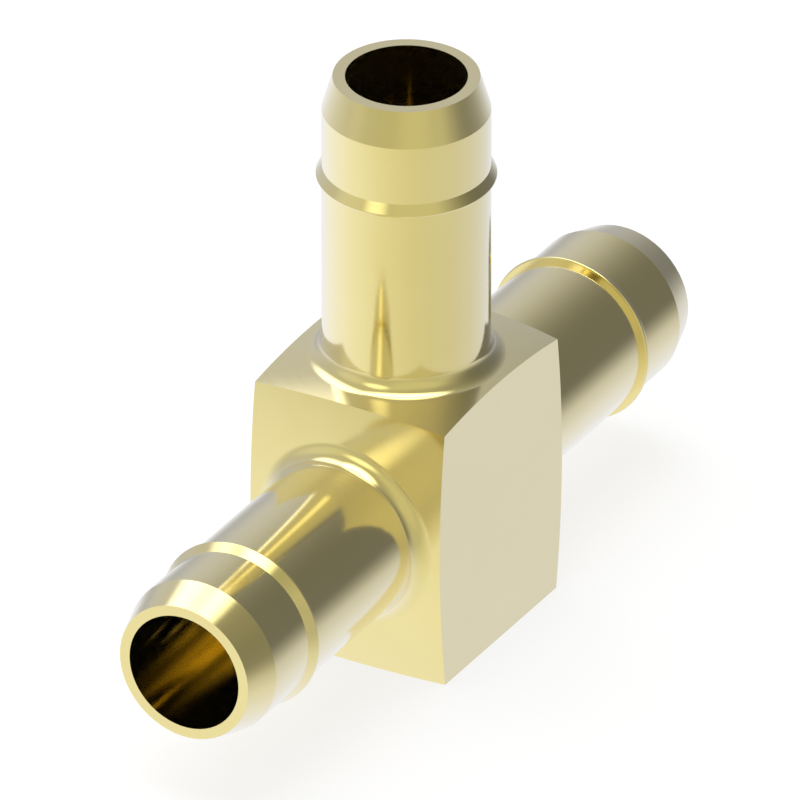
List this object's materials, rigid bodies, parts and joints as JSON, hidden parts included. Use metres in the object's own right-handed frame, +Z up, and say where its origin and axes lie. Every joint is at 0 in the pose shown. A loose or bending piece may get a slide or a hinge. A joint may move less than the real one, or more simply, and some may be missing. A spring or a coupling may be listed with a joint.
{
  "type": "hose barb tee",
  "caption": "Brass tee that joins soft hose: a flat-sided block with a straight run and a branch, each leg with a tapered nose and a barb.",
  "frame": {"origin": "where the axis of the branch crosses the axis of the run, in the middle of the run bore", "axes": "+Y along the run, +Z up the branch, +X square to both flat sides"},
  "size_m": [0.0122, 0.0494, 0.0345],
  "materials": {
    "brass": "polished"
  },
  "bodies": {
    "root": {"barb_tee": "brass"}
  },
  "joints": []
}
